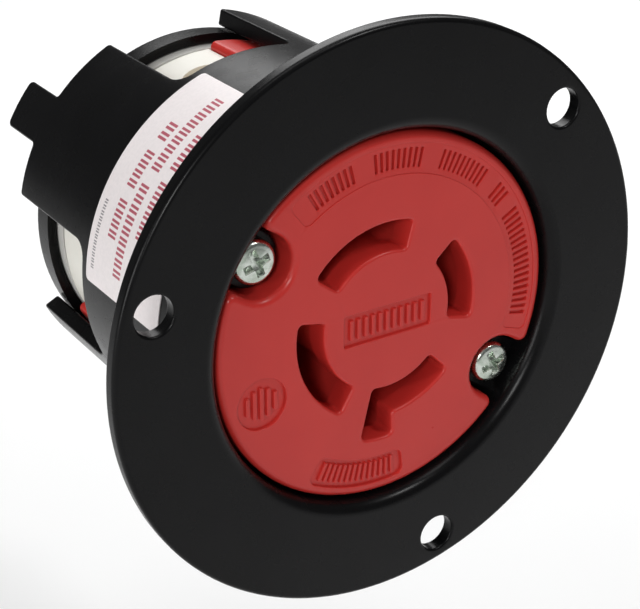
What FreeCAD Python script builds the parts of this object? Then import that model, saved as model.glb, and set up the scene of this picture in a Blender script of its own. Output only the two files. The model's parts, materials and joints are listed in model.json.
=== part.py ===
"""Flanged locking power outlet with four blade slots.

Frame: millimetres. The origin is the centre of the flange's rear face, the face that
lies on a panel. The outlet's face looks towards -Y, the wiring end points to +Y and
+Z is up. Angles are in degrees, counted from +X towards +Z.
"""
import FreeCAD, Part
import math
import os

from FreeCAD import Vector

# Flange and tubular body of the shell
FLANGE_R = 41.3
FLANGE_T = 2.1
FLANGE_EDGE_FILLET = 0.7
BODY_R = 29.25
BORE_R = 26.75
RIM_FILLET = 1.9
MOUNT_HOLE_R = 2.7
MOUNT_HOLE_CHAMFER = 0.35
MOUNT_CIRCLE_R = 36.83
MOUNT_HOLE_ANGLES = (163.0, 43.0, -77.0)

# Arms behind the tubular body, with a window between each pair
TUBE_REAR = 32.1
ARM_REAR = 53.5
ARM_CENTRE = 142.2
ARM_SPAN = 52.5
WINDOW_FILLET = 2.4
TAB_REAR = 62.8
TAB_CENTRE = 145.2
TAB_SPAN = 15.0
TAB_ANGLES = (TAB_CENTRE, TAB_CENTRE - 180)
TAB_FILLET = 0.8

# Two long screws that hold the shell, the front body and the rear cap together
SCREW_CIRCLE_R = 23.1
SCREW_ANGLES = (146.9, -33.1)
SCREW_R = 1.75
SCREW_HEAD_R = 2.95
SCREW_HEAD_H = 2.1
SCREW_HEAD_FILLET = 0.8
SCREW_RECESS_LENGTH = 3.7
SCREW_RECESS_WIDTH = 0.8
SCREW_RECESS_DEPTH = 0.9
SCREW_RECESS_TURN = 20.0
SCREW_TIP = 52.2
LUG_FRONT = 2.6
LUG_T = 3.0
LUG_R = 4.1
LUG_HOLE_R = 1.95
LUG_ROOT = 0.5

# Front body: slotted face, blade chambers and four rear posts
FACE_Y = -0.55
FACE_T = 4.0
FACE_R = 26.2
FACE_FILLET = 0.9
POST_REAR = 46.8
NOTCH_R = 4.5
NOTCH_CENTRE_R = 22.8
SLOT_INNER_R = 10.1
SLOT_OUTER_R = 14.2
SLOT_LEAD = 0.3
SLOT_SPANS = {
    "x": (74.0, 142.0),
    "y": (-12.0, 41.0),
    "ground": (-103.0, -45.0),
    "z": (168.0, 238.0),
}
FOOT_SPAN = (-103.0, -86.5)
FOOT_R = 17.8
CHAMBER_GAP = 0.7

# Recessed fields of the face, without lettering
FIELD_DEPTH = 0.3
LOWER_FIELD_INNER_R = 20.6
LOWER_FIELD_OUTER_R = 25.0
LOWER_FIELD_SPAN = (-121.0, -83.0)
PLATE_FIELD = (14.0, 4.7)
ROUND_FIELD_R = 3.7
ROUND_FIELD_ANGLE = -161.0
ROUND_FIELD_CENTRE_R = 20.8

# Terminals: one in each window
TERMINAL_ANGLES = {"x": 102.0, "y": 12.0, "ground": -78.0, "z": 192.0}
BAY_WIDTH = 11.0
BAY_FRONT = 30.0
BAY_INNER_R = 8.8
BLOCK_WIDTH = 10.6
SIDE_WALLS = {"x": 0.0, "y": 0.0, "ground": 0.0, "z": 5.7}
BLOCK_OUTER_R = 25.0
BLOCK_INNER_R = 9.1
BLOCK_WALL = 1.3
WELL_R = 4.2
TERMINAL_Y = 37.2
PIECE_GAP = 0.1
STEM_CLEARANCE = 0.3

# Contacts
STRIP_T = 1.4
PAD_WIDTH = 7.4
PAD_OUTER_R = 22.0
PAD_REAR = 45.5
PAD_HOLE_R = 2.4
BRIDGE_FRONT = 31.8
JAW_T = 0.8
JAW_INNER_R = 10.4
JAW_OUTER_R = 13.1
JAW_SPAN = 26.0
JAW_FRONT = 9.0
JAW_REAR = 24.0
STEM_WIDTH = 5.4

# Clamp plates and their screws
CLAMP_T = 1.6
CLAMP_WIDTH = 7.2
CLAMP_OUTER_R = 16.2
CLAMP_FRONT = 33.6
CLAMP_REAR = 45.3
CLAMP_TEETH = 4
CLAMP_TOOTH_DEPTH = 0.25
CLAMP_TOOTH_START = 1.0
CLAMP_TOOTH_SHARE = 0.4
TERMINAL_SCREW_R = 2.08
THREAD_CLEARANCE = 0.05
TERMINAL_HEAD_R = 3.6
TERMINAL_HEAD_H = 2.5
TERMINAL_SCREW_TIP_R = 12.2
HEAD_GAP = 0.06
TERMINAL_HEAD_FILLET = 0.8
TERMINAL_RECESS_LENGTH = 4.7
TERMINAL_RECESS_WIDTH = 0.9
TERMINAL_RECESS_DEPTH = 1.2

# Retaining plate, rear cap and inserts
PLATE_R = 24.8
PLATE_FRONT = 47.9
PLATE_REAR = 51.15
PLATE_BOSS_R = 20.0
PLATE_BOSS_FRONT = 46.85
PLATE_HOLE_R = 3.7
PLATE_BOSS_ROOM = 0.25
CAP_R = 26.5
CAP_RIM_FRONT = 49.4
CAP_RIM_INNER_R = 25.1
CAP_FLOOR = 51.2
CAP_REAR = 54.0
CAP_FILLET = 1.4
CAP_HUB_R = 8.0
CAP_HUB_H = 0.9
BARRIER_T = 1.6
BARRIER_H = 0.9
BARRIER_OUTER_R = 23.0
BARRIER_INNER_R = 4.0
BARRIER_TURN = 45.0
WIRE_HOLE_R = 3.2
WIRE_CIRCLE_R = 18.4
WIRE_LEAD = 0.6
INSERT_R = 2.4
INSERT_FRONT = 48.3
INSERT_REAR = 52.7
INSERT_BOSS_R = 3.35
INSERT_SEAT_CLEARANCE = 0.02

# Label on the tubular body
LABEL_T = 0.15
LABEL_SPAN = (109.5, 177.0)
LABEL_FRONT = 9.3
LABEL_REAR = 30.3

AXIS = Vector(0, 1, 0)
SPIN = Vector(0, -1, 0)
ORIGIN = Vector(0, 0, 0)


def disc(radius, front, rear):
    """Solid cylinder on the outlet's axis."""
    return Part.makeCylinder(radius, rear - front, Vector(0, front, 0), AXIS)


def turned(shape, angle):
    """Copy of a shape built along +X, turned by an angle from +X towards +Z."""
    copy = shape.copy()
    copy.rotate(ORIGIN, SPIN, angle)
    return copy


def at_radius(radius, angle, y=0.0):
    """Point at a radius and an angle round the axis."""
    turn = math.radians(angle)
    return Vector(radius * math.cos(turn), y, radius * math.sin(turn))


def sector(inner, outer, span, front, rear):
    """Part of a ring between two angles."""
    start, end = span
    middle = 0.5 * (start + end)
    inside = [at_radius(inner, angle, front) for angle in (end, middle, start)]
    outside = [at_radius(outer, angle, front) for angle in (start, middle, end)]
    edges = [
        Part.LineSegment(inside[2], outside[0]),
        Part.Arc(*outside),
        Part.LineSegment(outside[2], inside[0]),
        Part.Arc(*inside),
    ]
    face = Part.Face(Part.Wire([edge.toShape() for edge in edges]))
    return face.extrude(Vector(0, rear - front, 0))


def block(inner, outer, width, front, rear, angle, more=0.0):
    """Straight-sided block centred on an angle, with more width on its clockwise side."""
    corner = Vector(inner, front, -0.5 * width - more)
    return turned(Part.makeBox(outer - inner, rear - front, width + more, corner), angle)


def post(radius, circle_r, angle, front, rear):
    """Cylinder parallel to the axis, standing off it."""
    return Part.makeCylinder(radius, rear - front, at_radius(circle_r, angle, front), AXIS)


def radial_rod(radius, inner, outer, angle, y):
    """Cylinder whose axis points straight out from the outlet's axis."""
    direction = at_radius(1.0, angle)
    return Part.makeCylinder(radius, outer - inner, at_radius(inner, angle, y), direction)


def edges_where(shape, test):
    """Edges whose centre passes a test."""
    return [edge for edge in shape.Edges if test(edge)]


def circle_edges(shape, radius, y):
    """Round edges of one radius in one plane across the axis."""
    def matches(edge):
        curve = edge.Curve
        return (isinstance(curve, Part.Circle) and abs(curve.Radius - radius) < 1e-3
                and abs(curve.Center.y - y) < 1e-3)
    return edges_where(shape, matches)


def polar(point):
    """Radius and angle of a point round the axis."""
    return math.hypot(point.x, point.z), math.degrees(math.atan2(point.z, point.x)) % 360


def corner_edges(shape, angles, y):
    """Short radial edges at given angles in one plane across the axis."""
    def matches(edge):
        radius, angle = polar(edge.CenterOfMass)
        near = any(abs((angle - a + 180) % 360 - 180) < 0.3 for a in angles)
        return near and abs(edge.CenterOfMass.y - y) < 0.01 and edge.Length < 4 and radius > BORE_R
    return edges_where(shape, matches)


def arm_angles():
    """Centre angles of the four arms."""
    return [ARM_CENTRE + 90 * k for k in range(4)]


def window_spans():
    """Start and end angles of the four windows."""
    return [(a + 0.5 * ARM_SPAN, a + 90 - 0.5 * ARM_SPAN) for a in arm_angles()]


def shell():
    """Moulding with the flange, the tube, four arms, two tabs and two lugs."""
    shell = disc(FLANGE_R, -FLANGE_T, 0).fuse(disc(BODY_R, -FLANGE_T, ARM_REAR))
    shell = shell.cut(disc(BORE_R, -FLANGE_T - 1, ARM_REAR + 1)).removeSplitter()
    shell = shell.makeFillet(RIM_FILLET, circle_edges(shell, BORE_R, -FLANGE_T))
    shell = shell.makeFillet(FLANGE_EDGE_FILLET, circle_edges(shell, FLANGE_R, -FLANGE_T))
    for span in window_spans():
        shell = shell.cut(sector(BORE_R - 3, BODY_R + 3, span, TUBE_REAR, ARM_REAR + 1))
    corners = [angle for span in window_spans() for angle in span]
    shell = shell.makeFillet(WINDOW_FILLET, corner_edges(shell, corners, TUBE_REAR))
    for angle in TAB_ANGLES:
        span = (angle - 0.5 * TAB_SPAN, angle + 0.5 * TAB_SPAN)
        tab = sector(BORE_R, BODY_R, span, ARM_REAR - 1, TAB_REAR)
        tab = tab.makeFillet(TAB_FILLET, corner_edges(tab, span, TAB_REAR))
        shell = shell.fuse(tab)
    for angle in SCREW_ANGLES:
        shell = shell.fuse(screw_lug(angle))
    for angle in SCREW_ANGLES:
        shell = shell.cut(post(LUG_HOLE_R, SCREW_CIRCLE_R, angle, LUG_FRONT - 1, LUG_FRONT + LUG_T + 1))
    for angle in MOUNT_HOLE_ANGLES:
        shell = shell.cut(post(MOUNT_HOLE_R, MOUNT_CIRCLE_R, angle, -FLANGE_T - 1, 1))
        lead = Part.makeCone(MOUNT_HOLE_R + MOUNT_HOLE_CHAMFER, MOUNT_HOLE_R, MOUNT_HOLE_CHAMFER,
                             at_radius(MOUNT_CIRCLE_R, angle, -FLANGE_T), AXIS)
        shell = shell.cut(lead)
    return shell.removeSplitter()


def screw_lug(angle):
    """Lug that stands in from the tube's wall and carries one screw head."""
    rear = LUG_FRONT + LUG_T
    lug = post(LUG_R, SCREW_CIRCLE_R, angle, LUG_FRONT, rear)
    lug = lug.fuse(block(SCREW_CIRCLE_R, BODY_R, 2 * LUG_R, LUG_FRONT, rear, angle))
    return lug.common(disc(BORE_R + LUG_ROOT, LUG_FRONT - 1, rear + 1))


def notch(angle):
    """U-shaped notch in the edge of the face, deep enough to take the lug."""
    rear = LUG_FRONT + LUG_T + PIECE_GAP
    cutter = post(NOTCH_R, NOTCH_CENTRE_R, angle, FACE_Y - 1, rear)
    return cutter.fuse(block(NOTCH_CENTRE_R, FACE_R + 2, 2 * NOTCH_R, FACE_Y - 1, rear, angle))


def slot_outline(name, grow, front, rear):
    """Blade slot of one pole, grown all round by a margin."""
    start, end = SLOT_SPANS[name]
    turn = math.degrees(grow / SLOT_OUTER_R)
    slot = sector(SLOT_INNER_R - grow, SLOT_OUTER_R + grow, (start - turn, end + turn), front, rear)
    if name == "ground":
        start, end = FOOT_SPAN
        slot = slot.fuse(sector(SLOT_INNER_R, FOOT_R + grow, (start - turn, end + turn), front, rear))
    return slot.removeSplitter()


def front_body():
    """Coloured body: face plate, blade chambers, and posts between the terminal bays."""
    body = disc(FACE_R, FACE_Y, POST_REAR)
    body = body.makeFillet(FACE_FILLET, circle_edges(body, FACE_R, FACE_Y))
    for angle in SCREW_ANGLES:
        body = body.cut(notch(angle))
        body = body.cut(post(LUG_HOLE_R, SCREW_CIRCLE_R, angle, LUG_FRONT, POST_REAR + 1))
    for name in SLOT_SPANS:
        lead = slot_outline(name, 0.5 * SLOT_LEAD, FACE_Y - 1, FACE_Y + SLOT_LEAD)
        slot = slot_outline(name, 0.0, FACE_Y - 1, FACE_Y + FACE_T + 1)
        chamber = slot_outline(name, CHAMBER_GAP, FACE_Y + FACE_T, BAY_FRONT + 1)
        bay = block(BAY_INNER_R, FACE_R + 2, BAY_WIDTH, BAY_FRONT, POST_REAR + 1, TERMINAL_ANGLES[name],
                    SIDE_WALLS[name])
        for cutter in (lead, slot, chamber, bay):
            body = body.cut(cutter)
    for field in face_fields():
        body = body.cut(field)
    return body.removeSplitter()


def face_fields():
    """Shallow blank recesses of the face."""
    front = FACE_Y - 1
    floor = FACE_Y + FIELD_DEPTH
    width, height = PLATE_FIELD
    return [
        sector(LOWER_FIELD_INNER_R, LOWER_FIELD_OUTER_R, LOWER_FIELD_SPAN, front, floor),
        Part.makeBox(width, floor - front, height, Vector(-0.5 * width, front, -0.5 * height)),
        post(ROUND_FIELD_R, ROUND_FIELD_CENTRE_R, ROUND_FIELD_ANGLE, front, floor),
    ]


def terminal_block(name):
    """Insulating box in a window, open to the rear, with a well for the screw head."""
    angle = TERMINAL_ANGLES[name]
    box = block(BLOCK_INNER_R, BLOCK_OUTER_R + 2, BLOCK_WIDTH, BAY_FRONT + PIECE_GAP, POST_REAR, angle,
                SIDE_WALLS[name])
    box = box.common(disc(BLOCK_OUTER_R, BAY_FRONT, POST_REAR + 1))
    inner = BLOCK_INNER_R + BLOCK_WALL
    outer = PAD_OUTER_R + PIECE_GAP
    width = BLOCK_WIDTH - 2 * BLOCK_WALL
    cavity = block(inner, outer, width, BRIDGE_FRONT - PIECE_GAP, POST_REAR + 1, angle)
    stem_outer = JAW_OUTER_R + STRIP_T + STEM_CLEARANCE
    stem_width = STEM_WIDTH + 2 * STEM_CLEARANCE
    passage = block(inner, stem_outer, stem_width, BAY_FRONT - 1, BRIDGE_FRONT, angle)
    well = radial_rod(WELL_R, outer - PIECE_GAP, BLOCK_OUTER_R + 1, angle, TERMINAL_Y)
    return box.cut(cavity).cut(passage).cut(well)


def contact(angle):
    """Sprung jaws for a plug blade, and the pad that a wire is clamped against."""
    pad_inner = PAD_OUTER_R - STRIP_T
    bridge_rear = BRIDGE_FRONT + STRIP_T
    pad = block(pad_inner, PAD_OUTER_R, PAD_WIDTH, BRIDGE_FRONT, PAD_REAR, angle)
    pad = pad.cut(radial_rod(PAD_HOLE_R, pad_inner - 1, PAD_OUTER_R + 1, angle, TERMINAL_Y))
    bridge = block(JAW_OUTER_R, PAD_OUTER_R, PAD_WIDTH, BRIDGE_FRONT, bridge_rear, angle)
    stem = block(JAW_OUTER_R, JAW_OUTER_R + STRIP_T, STEM_WIDTH, JAW_REAR - 2, bridge_rear, angle)
    span = (angle - 0.5 * JAW_SPAN, angle + 0.5 * JAW_SPAN)
    outer_jaw = sector(JAW_OUTER_R, JAW_OUTER_R + JAW_T, span, JAW_FRONT, JAW_REAR)
    inner_jaw = sector(JAW_INNER_R, JAW_INNER_R + JAW_T, span, JAW_FRONT, JAW_REAR)
    web = sector(JAW_INNER_R, JAW_OUTER_R + JAW_T, span, JAW_REAR - STRIP_T, JAW_REAR)
    piece = pad
    for piece_to_join in (bridge, stem, outer_jaw, inner_jaw, web):
        piece = piece.fuse(piece_to_join)
    return piece.removeSplitter()


def clamp_plate(angle):
    """Threaded plate that the screw draws outwards, with gripping grooves across it."""
    inner = CLAMP_OUTER_R - CLAMP_T
    plate = block(inner, CLAMP_OUTER_R, CLAMP_WIDTH, CLAMP_FRONT, CLAMP_REAR, angle)
    hole_r = TERMINAL_SCREW_R + THREAD_CLEARANCE
    plate = plate.cut(radial_rod(hole_r, inner - 1, CLAMP_OUTER_R + 1, angle, TERMINAL_Y))
    first = TERMINAL_Y + TERMINAL_SCREW_R + CLAMP_TOOTH_START
    pitch = (CLAMP_REAR - first) / CLAMP_TEETH
    for k in range(CLAMP_TEETH):
        front = first + k * pitch
        groove = block(CLAMP_OUTER_R - CLAMP_TOOTH_DEPTH, CLAMP_OUTER_R + 1, CLAMP_WIDTH + 2,
                       front, front + CLAMP_TOOTH_SHARE * pitch, angle)
        plate = plate.cut(groove)
    return plate


def terminal_screw(angle):
    """Round-head screw with a cross recess, its head facing out of the window."""
    seat = PAD_OUTER_R + HEAD_GAP
    top = seat + TERMINAL_HEAD_H
    shank = radial_rod(TERMINAL_SCREW_R, TERMINAL_SCREW_TIP_R, seat + 0.5, angle, TERMINAL_Y)
    head = radial_rod(TERMINAL_HEAD_R, seat, top, angle, TERMINAL_Y)
    rim = [e for e in head.Edges if isinstance(e.Curve, Part.Circle)
           and abs(polar(e.Curve.Center)[0] - top) < 1e-3]
    head = head.makeFillet(TERMINAL_HEAD_FILLET, rim)
    floor = top - TERMINAL_RECESS_DEPTH
    recess = None
    for length, width in ((TERMINAL_RECESS_LENGTH, TERMINAL_RECESS_WIDTH),
                          (TERMINAL_RECESS_WIDTH, TERMINAL_RECESS_LENGTH)):
        front = TERMINAL_Y - 0.5 * length
        arm = block(floor, top + 1, width, front, front + length, angle)
        recess = arm if recess is None else recess.fuse(arm)
    return head.fuse(shank).cut(recess).removeSplitter()


def assembly_screw(angle):
    """Long pan-head screw with a cross recess."""
    seat = LUG_FRONT
    top = seat - SCREW_HEAD_H
    head = post(SCREW_HEAD_R, SCREW_CIRCLE_R, angle, top, seat)
    head = head.makeFillet(SCREW_HEAD_FILLET, circle_edges(head, SCREW_HEAD_R, top))
    shank = post(SCREW_R, SCREW_CIRCLE_R, angle, seat - 0.5, SCREW_TIP)
    half = 0.5 * SCREW_RECESS_LENGTH
    arm = block(-half, half, SCREW_RECESS_WIDTH, top - 1, top + SCREW_RECESS_DEPTH, SCREW_RECESS_TURN)
    cross = arm.fuse(turned(arm, 90))
    cross.translate(at_radius(SCREW_CIRCLE_R, angle))
    return head.fuse(shank).cut(cross).removeSplitter()


def insert(angle):
    """Threaded insert in the rear cap."""
    sleeve = post(INSERT_R, SCREW_CIRCLE_R, angle, INSERT_FRONT, INSERT_REAR)
    bore_r = SCREW_R + THREAD_CLEARANCE
    return sleeve.cut(post(bore_r, SCREW_CIRCLE_R, angle, INSERT_FRONT - 1, INSERT_REAR + 1))


def terminal_plate():
    """Disc that closes the terminal boxes, with a hole for each wire."""
    plate = disc(PLATE_R, PLATE_FRONT, PLATE_REAR)
    plate = plate.fuse(disc(PLATE_BOSS_R, PLATE_BOSS_FRONT, PLATE_FRONT))
    for angle in TERMINAL_ANGLES.values():
        plate = plate.cut(post(PLATE_HOLE_R, WIRE_CIRCLE_R, angle, POST_REAR - 1, PLATE_REAR + 1))
    for angle in SCREW_ANGLES:
        room = INSERT_BOSS_R + PLATE_BOSS_ROOM
        front = POST_REAR - 1
        rear = PLATE_REAR + 1
        plate = plate.cut(post(room, SCREW_CIRCLE_R, angle, front, rear))
        plate = plate.cut(block(SCREW_CIRCLE_R, PLATE_R + 2, 2 * room, front, rear, angle))
    return plate.removeSplitter()


def rear_cap():
    """Cap with a rim, wire holes with leads, a hub, barriers and the insert bosses."""
    cap = disc(CAP_R, CAP_RIM_FRONT, CAP_REAR)
    cap = cap.makeFillet(CAP_FILLET, circle_edges(cap, CAP_R, CAP_REAR))
    cap = cap.cut(disc(CAP_RIM_INNER_R, CAP_RIM_FRONT - 1, CAP_FLOOR))
    cap = cap.fuse(disc(CAP_HUB_R, CAP_REAR - 1, CAP_REAR + CAP_HUB_H))
    for angle in TERMINAL_ANGLES.values():
        cap = cap.fuse(block(BARRIER_INNER_R, BARRIER_OUTER_R, BARRIER_T, CAP_REAR - 1,
                             CAP_REAR + BARRIER_H, angle + BARRIER_TURN))
    for angle in SCREW_ANGLES:
        boss = post(INSERT_BOSS_R, SCREW_CIRCLE_R, angle, INSERT_FRONT, CAP_FLOOR + 1)
        cap = cap.fuse(boss)
        seat_r = INSERT_R + INSERT_SEAT_CLEARANCE
        cap = cap.cut(post(seat_r, SCREW_CIRCLE_R, angle, INSERT_FRONT - 1, INSERT_REAR + PIECE_GAP))
    for angle in TERMINAL_ANGLES.values():
        cap = cap.cut(post(WIRE_HOLE_R, WIRE_CIRCLE_R, angle, CAP_FLOOR - 1, CAP_REAR + 1))
        lead = Part.makeCone(WIRE_HOLE_R, WIRE_HOLE_R + WIRE_LEAD, WIRE_LEAD,
                             at_radius(WIRE_CIRCLE_R, angle, CAP_REAR - WIRE_LEAD), AXIS)
        cap = cap.cut(lead)
    return cap.removeSplitter()


def label():
    """Thin printed label wrapped on the tube."""
    return sector(BODY_R, BODY_R + LABEL_T, LABEL_SPAN, LABEL_FRONT, LABEL_REAR)


def build():
    """All the pieces by node name."""
    moulding = shell()
    ahead = disc(FLANGE_R + 1, -FLANGE_T - 1, 0)
    pieces = {
        "flange_shell": moulding.common(ahead),
        "shell_tube": moulding.cut(ahead),
        "front_body": front_body(),
        "terminal_plate": terminal_plate(),
        "rear_cap": rear_cap(),
        "label": label(),
        "assembly_screws": Part.makeCompound([assembly_screw(a) for a in SCREW_ANGLES]),
        "threaded_inserts": Part.makeCompound([insert(a) for a in SCREW_ANGLES]),
    }
    for name, angle in TERMINAL_ANGLES.items():
        pieces["contact_" + name] = contact(angle)
        pieces["terminal_block_" + name] = terminal_block(name)
        pieces["clamp_plate_" + name] = clamp_plate(angle)
        pieces["terminal_screw_" + name] = terminal_screw(angle)
    return pieces


os.makedirs("parts", exist_ok=True)
for node, shape in build().items():
    print(node, "valid", shape.isValid(), "solids", len(shape.Solids), "volume %.1f" % shape.Volume)
    shape.exportStep("parts/" + node + ".step")
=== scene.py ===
"""Looks of a flanged locking power outlet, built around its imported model.

Lengths are millimetres and angles are degrees, counted from +X towards +Z about the
outlet's axis, which runs along Y with the slotted face towards -Y. A mesh is scaled to
metres when its piece is made.
"""

import json
import logging
import math
from abc import ABC, abstractmethod
from collections.abc import Callable, Iterable, Sequence
from dataclasses import dataclass, field
from enum import Enum

import bmesh
import bpy
import numpy as np
from mathutils import Matrix, Vector
from mathutils.geometry import delaunay_2d_cdt


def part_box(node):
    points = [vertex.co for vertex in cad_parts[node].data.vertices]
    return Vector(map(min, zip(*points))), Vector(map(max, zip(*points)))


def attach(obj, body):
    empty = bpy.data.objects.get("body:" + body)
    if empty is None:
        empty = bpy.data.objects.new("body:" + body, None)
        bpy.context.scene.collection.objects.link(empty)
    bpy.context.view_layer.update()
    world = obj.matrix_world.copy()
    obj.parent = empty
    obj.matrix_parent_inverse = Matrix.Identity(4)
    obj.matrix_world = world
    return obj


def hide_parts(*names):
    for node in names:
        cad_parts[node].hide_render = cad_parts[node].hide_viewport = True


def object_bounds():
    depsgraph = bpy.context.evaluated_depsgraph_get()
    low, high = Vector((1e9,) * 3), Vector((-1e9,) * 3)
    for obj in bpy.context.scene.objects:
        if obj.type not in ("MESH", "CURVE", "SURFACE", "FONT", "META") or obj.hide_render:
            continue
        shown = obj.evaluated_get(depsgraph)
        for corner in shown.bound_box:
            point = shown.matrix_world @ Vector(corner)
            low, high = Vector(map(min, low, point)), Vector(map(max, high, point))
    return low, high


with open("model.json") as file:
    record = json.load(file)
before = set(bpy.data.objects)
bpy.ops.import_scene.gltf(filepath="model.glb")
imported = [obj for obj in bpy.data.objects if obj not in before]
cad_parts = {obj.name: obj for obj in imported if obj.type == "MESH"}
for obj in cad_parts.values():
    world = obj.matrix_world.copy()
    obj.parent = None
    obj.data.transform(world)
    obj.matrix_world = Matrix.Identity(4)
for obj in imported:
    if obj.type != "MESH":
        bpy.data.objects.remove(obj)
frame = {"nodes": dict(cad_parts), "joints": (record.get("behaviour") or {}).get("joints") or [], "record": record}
CAD_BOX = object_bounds()

log = logging.getLogger("outlet")

MM = 0.001
WELD = 0.002
TUBE_R = 29.25
SCREW_ANGLES = (146.9, -33.1)
BAR_FOOT = 0.04
BAR_ROUND = 0.12
TIP_ROUND = 0.35
TIP_ALLOWANCE = 0.36
SMALLEST_ROUND = 0.02
NO_TURN = 1e-6
CLEAR_SHARE = 0.45
CHUNK = 64

Flat = tuple[float, float]
Place = Callable[[float, float, float], Vector]
FlatPlace = Callable[[float, float], Vector]


def polar(radius: float, angle: float) -> Flat:
    """Gives the point of a flat polar place.

    Args:
        radius: Distance from the centre.
        angle: Angle from +X towards +Z.

    Returns:
        The point across the axis, as x and z.
    """
    turn = math.radians(angle)
    return radius * math.cos(turn), radius * math.sin(turn)


def across(u: float, v: float, height: float) -> Vector:
    """Places a point of a plane across the axis, with its place along the axis."""
    return Vector((u, height, v))


def level(height: float) -> FlatPlace:
    """Gives the function that places flat points at one height."""
    return lambda u, v: across(u, v, height)


def wrapped(u: float, v: float, radius: float) -> Vector:
    """Wraps a point of the unrolled tube round the axis."""
    return across(*polar(radius, math.degrees(u / TUBE_R)), v)


def quarter(radius: float, steps: int = 5) -> list[Flat]:
    """Walks a quarter round from a face over an edge.

    Args:
        radius: Radius of the round.
        steps: Number of strips in it.

    Returns:
        Pairs of the distance still to go to the wall and the depth below the face.
    """
    turns = [0.5 * math.pi * k / steps for k in range(steps + 1)]
    return [(radius * (1 - math.sin(t)), radius * (1 - math.cos(t))) for t in turns]


# Flat loops ---------------------------------------------------------------------------


class Loop(ABC):
    """Closed line in a plane that can be drawn smaller or larger with as many points."""

    @abstractmethod
    def points(self, shrink: float = 0.0) -> list[Flat]:
        """Draws the loop.

        Args:
            shrink: Distance by which the loop is moved inwards.

        Returns:
            The points of the loop in order.
        """


@dataclass(frozen=True)
class Round(Loop):
    """Circle."""

    radius: float
    centre: Flat = (0.0, 0.0)
    count: int = 48
    start: float = 0.0

    def points(self, shrink: float = 0.0) -> list[Flat]:
        """Draws the circle, smaller by the distance given.

        Args:
            shrink: Distance by which the loop is moved inwards.

        Returns:
            The points of the circle in order.
        """
        found = []
        for k in range(self.count):
            u, v = polar(self.radius - shrink, self.start + 360 * k / self.count)
            found.append((self.centre[0] + u, self.centre[1] + v))
        return found


@dataclass(frozen=True)
class Corner:
    """Corner of an outline, with the radius that rounds it."""

    u: float
    v: float
    radius: float = 0.0


@dataclass(frozen=True)
class Outline(Loop):
    """Straight-sided outline with rounded corners and its material on the left."""

    corners: tuple[Corner, ...]
    closed: bool = True
    step: float = 1.2
    turn_step: float = 15.0

    def points(self, shrink: float = 0.0) -> list[Flat]:
        """Draws the outline, moved towards its material by the distance given.

        Args:
            shrink: Distance by which the loop is moved inwards.

        Returns:
            The points of the outline in order.
        """
        arcs = [self._arc(k, shrink) for k in range(len(self.corners))]
        plain = [self._arc(k, 0.0) for k in range(len(self.corners))]
        found = []
        for k, arc in enumerate(arcs):
            found.extend(arc)
            if self.closed or k + 1 < len(arcs):
                n = (k + 1) % len(arcs)
                gaps = 1 + int((plain[n][0] - plain[k][-1]).length / self.step)
                found.extend(arc[-1].lerp(arcs[n][0], g / gaps) for g in range(1, gaps))
        return [(p.x, p.y) for p in found]

    def _corner(self, k: int) -> Vector:
        """Gives a corner's own point."""
        corner = self.corners[k % len(self.corners)]
        return Vector((corner.u, corner.v))

    def _directions(self, k: int) -> tuple[Vector, Vector]:
        """Gives the directions in which the outline reaches and leaves a corner.

        Args:
            k: Number of the corner.

        Returns:
            Both directions.
        """
        before = self._corner(k) - self._corner(k - 1)
        after = self._corner(k + 1) - self._corner(k)
        if not self.closed and k == 0:
            before = after
        if not self.closed and k == len(self.corners) - 1:
            after = before
        return before.normalized(), after.normalized()

    def _arc(self, k: int, shrink: float) -> list[Vector]:
        """Draws one rounded corner.

        Args:
            k: Number of the corner.
            shrink: Distance by which the outline is moved towards its material.

        Returns:
            One point for a sharp corner, or the points of its arc.
        """
        before, after = self._directions(k)
        normal = Vector((-before.y, before.x))
        leaving = Vector((-after.y, after.x))
        corner = self._corner(k) + (normal + leaving) * (shrink / (1 + normal.dot(leaving)))
        turn = math.atan2(before.x * after.y - before.y * after.x, before.dot(after))
        radius = self.corners[k].radius
        if radius == 0 or abs(turn) < NO_TURN:
            return [corner]
        side = math.copysign(1.0, turn)
        reach = max(radius - side * shrink, SMALLEST_ROUND)
        start = corner - before * (reach * math.tan(0.5 * abs(turn)))
        centre = start + normal * (side * reach)
        steps = max(2, round(math.degrees(abs(turn)) / self.turn_step))
        spoke = start - centre
        found = []
        for n in range(steps + 1):
            c, s = math.cos(turn * n / steps), math.sin(turn * n / steps)
            found.append(centre + Vector((spoke.x * c - spoke.y * s, spoke.x * s + spoke.y * c)))
        return found


@dataclass(frozen=True)
class Bent(Loop):
    """Outline drawn along a ring: u runs round it and v outwards."""

    flat: Outline
    ring: float

    def points(self, shrink: float = 0.0) -> list[Flat]:
        """Draws the outline bent round the axis."""
        return [polar(v, math.degrees(u / self.ring)) for u, v in self.flat.points(shrink)]


@dataclass(frozen=True)
class Turned(Loop):
    """Loop turned about its origin and then moved."""

    flat: Loop
    angle: float
    centre: Flat = (0.0, 0.0)

    def points(self, shrink: float = 0.0) -> list[Flat]:
        """Draws the loop where it has been put.

        Args:
            shrink: Distance by which the loop is moved inwards.

        Returns:
            The points of the loop in order.
        """
        c, s = polar(1.0, self.angle)
        u0, v0 = self.centre
        return [(u0 + u * c - v * s, v0 + u * s + v * c) for u, v in self.flat.points(shrink)]


def rectangle(low: Flat, high: Flat, radius: float, step: float = 1.2) -> Outline:
    """Makes a rectangle with equal rounded corners.

    Args:
        low: Lowest corner.
        high: Highest corner.
        radius: Radius of the corners.
        step: Longest step along the sides.

    Returns:
        The outline.
    """
    places = ((low[0], low[1]), (high[0], low[1]), (high[0], high[1]), (low[0], high[1]))
    return Outline(tuple(Corner(u, v, radius) for u, v in places), step=step)


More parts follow.
